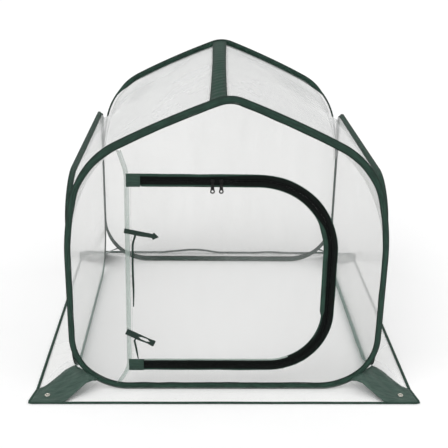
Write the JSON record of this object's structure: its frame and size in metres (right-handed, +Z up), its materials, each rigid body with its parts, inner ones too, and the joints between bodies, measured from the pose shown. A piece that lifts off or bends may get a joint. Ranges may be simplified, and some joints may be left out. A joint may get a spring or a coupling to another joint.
{
  "type": "pop-up greenhouse",
  "caption": "Small folding greenhouse: clear film panels on sprung wire hoops in green sleeves, with a zipped roll-up door, roof ridge and pegged ground skirt.",
  "frame": {"origin": "on the ground under the middle of the greenhouse, skirt included", "axes": "+Z up, the zipped front faces -Y, +X to the right seen from the front"},
  "size_m": [0.91, 0.892, 0.706],
  "materials": {
    "spring_wire": "bright spring steel",
    "ferrule_metal": "crimped, satin",
    "green_fabric": "dark green woven polyester binding",
    "green_tarp": "coated dark green oxford cloth, slightly shiny",
    "tie_webbing": "dark green tape",
    "zip_tape": "black woven zip tape",
    "zip_coil": "black nylon coil",
    "zip_metal": "black enamelled zinc with a bare ring",
    "grommet_metal": "nickel-plated brass",
    "clear_film": "clear flexible PVC film, glossy with soft wrinkles"
  },
  "bodies": {
    "front": {"doorway_binding": "green_fabric", "front_grommets": "grommet_metal", "front_hoop_ferrule": "ferrule_metal", "front_hoop_sleeve": "green_fabric", "front_hoop_wire": "spring_wire", "front_left_corner_hem": "green_fabric", "front_left_corner_patch": "green_tarp", "front_panel_left": "clear_film", "front_panel_right": "clear_film", "front_right_corner_hem": "green_fabric", "front_right_corner_patch": "green_tarp", "front_seam_tape": "clear_film", "front_skirt": "clear_film", "front_skirt_hem": "green_fabric", "lower_tie_anchor": "tie_webbing", "upper_tie_anchor": "tie_webbing", "zipper_bottom_end_patch": "green_tarp", "zipper_outer_coil": "zip_coil", "zipper_outer_tape": "zip_tape", "zipper_top_end_patch": "green_tarp"},
    "door": {"door_binding": "green_fabric", "door_panel": "clear_film", "zipper_inner_coil": "zip_coil", "zipper_inner_tape": "zip_tape"},
    "upper_tie": {"upper_tie_ribbon": "tie_webbing", "upper_tie_strap": "tie_webbing"},
    "lower_tie": {"lower_tie_ribbon": "tie_webbing", "lower_tie_strap": "tie_webbing"},
    "slider_left": {"zipper_slider_left": "zip_metal"},
    "slider_right": {"zipper_slider_right": "zip_metal"},
    "pull_left": {"zipper_pull_left": "zip_metal"},
    "pull_right": {"zipper_pull_right": "zip_metal"},
    "left_wall": {"left_hoop_ferrule": "ferrule_metal", "left_hoop_sleeve": "green_fabric", "left_hoop_wire": "spring_wire", "left_panel": "clear_film", "left_roof_panel": "clear_film", "left_skirt": "clear_film", "left_skirt_hem": "green_fabric"},
    "right_wall": {"right_hoop_ferrule": "ferrule_metal", "right_hoop_sleeve": "green_fabric", "right_hoop_wire": "spring_wire", "right_panel": "clear_film", "right_roof_panel": "clear_film", "right_skirt": "clear_film", "right_skirt_hem": "green_fabric"},
    "back_wall": {"back_grommets": "grommet_metal", "back_hoop_ferrule": "ferrule_metal", "back_hoop_sleeve": "green_fabric", "back_hoop_wire": "spring_wire", "back_left_corner_hem": "green_fabric", "back_left_corner_patch": "green_tarp", "back_panel": "clear_film", "back_right_corner_hem": "green_fabric", "back_right_corner_patch": "green_tarp", "back_skirt": "clear_film", "back_skirt_hem": "green_fabric"},
    "ridge": {"ridge_band": "green_tarp"}
  },
  "joints": [
    {"name": "left_wall_fold", "type": "hinge", "parent": "front", "child": "left_wall", "pos_m": [-0.358, -0.3672, 0.25], "axis": [0, 0, -1], "range_deg": [0, 85], "stiffness_Nm_per_rad": 1, "deforming": ["left_roof_panel", "front_left_corner_patch", "front_left_corner_hem"]},
    {"name": "right_wall_fold", "type": "hinge", "parent": "front", "child": "right_wall", "pos_m": [0.358, -0.38, 0.25], "axis": [0, 0, -1], "range_deg": [0, 85], "deforming": ["right_roof_panel", "front_right_corner_patch", "front_right_corner_hem"]},
    {"name": "back_wall_fold", "type": "hinge", "parent": "left_wall", "child": "back_wall", "pos_m": [-0.358, 0.38, 0.25], "axis": [0, 0, -1], "range_deg": [-85, 0], "deforming": ["back_left_corner_patch", "back_left_corner_hem"]},
    {"name": "ridge_fold", "type": "hinge", "parent": "front", "child": "ridge", "pos_m": [0, -0.3736, 0.69], "axis": [0, 0, -1], "range_deg": [0, 85], "deforming": ["ridge_band"]},
    {"name": "door_swing", "type": "hinge", "parent": "front", "child": "door", "pos_m": [-0.21649, -0.38, 0.3], "axis": [-0.0084, 0, -1], "range_deg": [0, 100]},
    {"name": "upper_tie_swing", "type": "hinge", "parent": "door", "child": "upper_tie", "pos_m": [-0.21065, -0.3841, 0.401], "axis": [-0.0084, 0, -1], "range_deg": [0, 60]},
    {"name": "lower_tie_swing", "type": "hinge", "parent": "door", "child": "lower_tie", "pos_m": [-0.21276, -0.3841, 0.148], "axis": [-0.0084, 0, -1], "range_deg": [0, 60]},
    {"name": "slider_left_run", "type": "slide", "parent": "front", "child": "slider_left", "axis": [-1, 0, 0], "range_m": [0, 0.148]},
    {"name": "slider_right_run", "type": "slide", "parent": "front", "child": "slider_right", "axis": [1, 0, 0], "range_m": [0, 0.058]},
    {"name": "pull_left_lift", "type": "hinge", "parent": "slider_left", "child": "pull_left", "pos_m": [-0.035, -0.3859, 0.52], "axis": [-1, 0, 0], "range_deg": [0, 110]},
    {"name": "pull_right_lift", "type": "hinge", "parent": "slider_right", "child": "pull_right", "pos_m": [-0.016, -0.3859, 0.52], "axis": [-1, 0, 0], "range_deg": [0, 110]}
  ],
  "couplings": [
    {"joint": "right_wall_fold", "follows": "left_wall_fold", "ratio": 1},
    {"joint": "back_wall_fold", "follows": "left_wall_fold", "ratio": -1},
    {"joint": "ridge_fold", "follows": "left_wall_fold", "ratio": 1}
  ]
}
